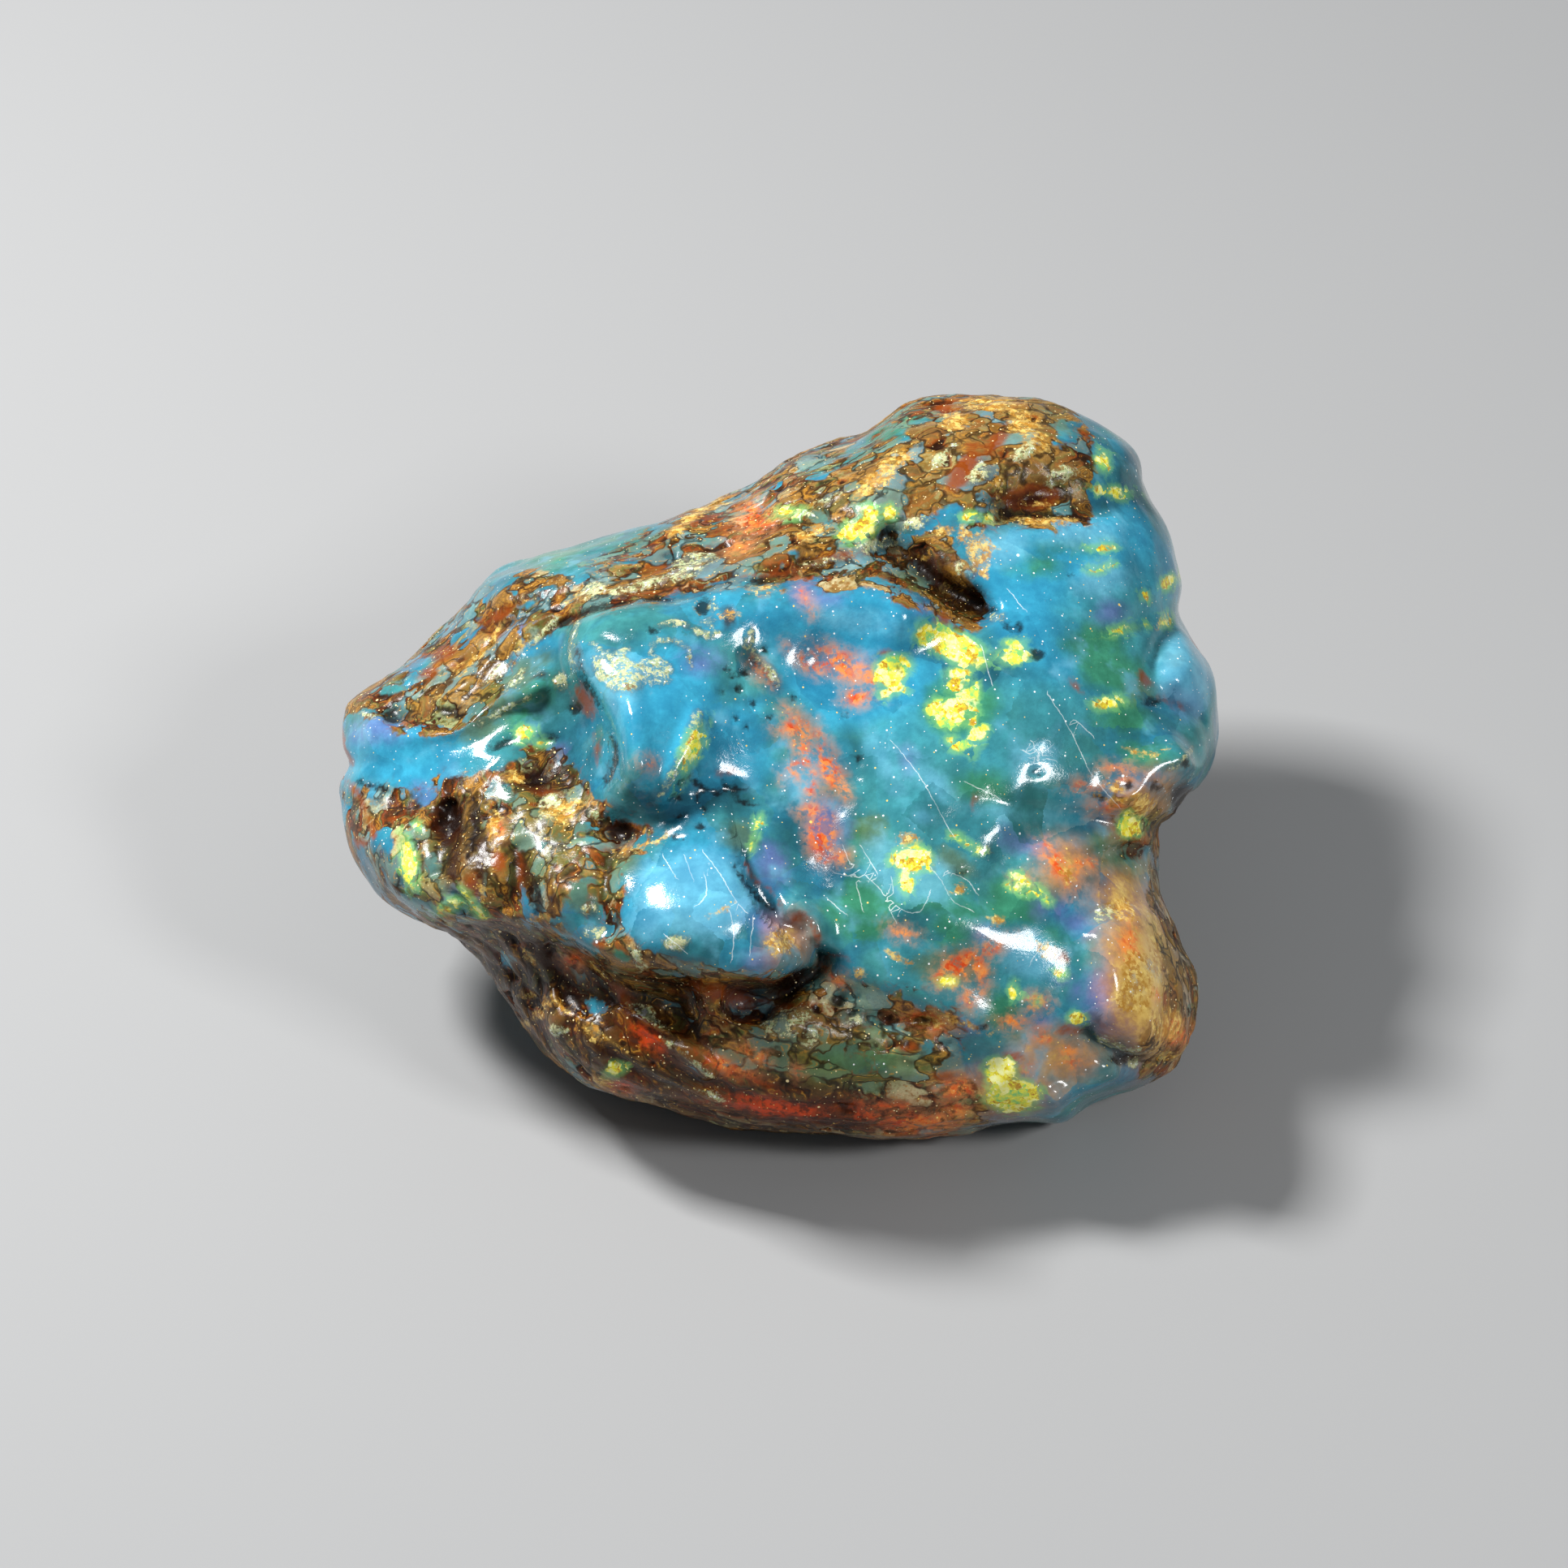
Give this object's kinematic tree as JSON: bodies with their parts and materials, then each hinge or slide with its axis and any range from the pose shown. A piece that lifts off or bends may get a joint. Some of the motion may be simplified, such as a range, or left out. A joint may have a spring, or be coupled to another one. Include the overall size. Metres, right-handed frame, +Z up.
{
  "type": "rough blue opal",
  "caption": "Palm-sized rough nodule of milky blue opal with colour patches, brown crust, ledges and hollows, resting on a small flat underside.",
  "frame": {"origin": "on the surface the stone rests on, below the middle of its outline seen from above", "axes": "+X along the stone's length, from the narrow arm to the broad end; +Z up as it rests; the broad colourful face leans back and looks toward -Y and up"},
  "size_m": [0.0453, 0.0387, 0.0256],
  "materials": {
    "opal": "gloss"
  },
  "bodies": {
    "root": {"stone": "opal"}
  },
  "joints": []
}
